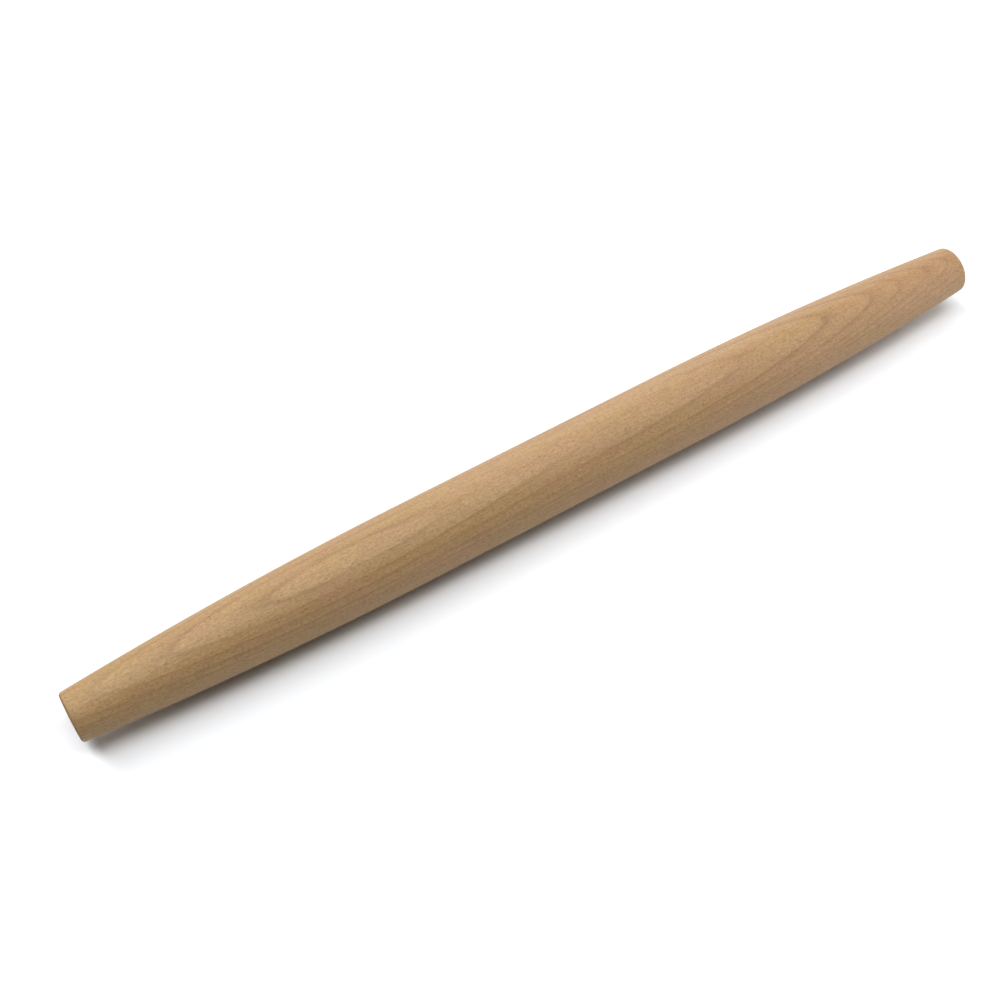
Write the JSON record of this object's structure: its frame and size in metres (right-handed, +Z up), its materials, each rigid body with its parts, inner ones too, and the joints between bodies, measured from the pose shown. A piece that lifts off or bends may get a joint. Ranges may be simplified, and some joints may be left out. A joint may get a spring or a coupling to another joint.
{
  "type": "french rolling pin",
  "caption": "Tapered rolling pin without handles, turned from solid beech: a straight barrel that slims to each end.",
  "frame": {"origin": "middle of the pin, on the axis that it was turned about and rolls about", "axes": "+X along the pin from its middle to one end face; the pin is the same all round X and the same end for end; +Z up as it lies on a worktop, which is 17.5 mm below the origin"},
  "size_m": [0.45, 0.035, 0.035],
  "materials": {
    "beech": "fine-sanded, unvarnished, satin"
  },
  "bodies": {
    "root": {"rolling_pin": "beech"}
  },
  "joints": []
}
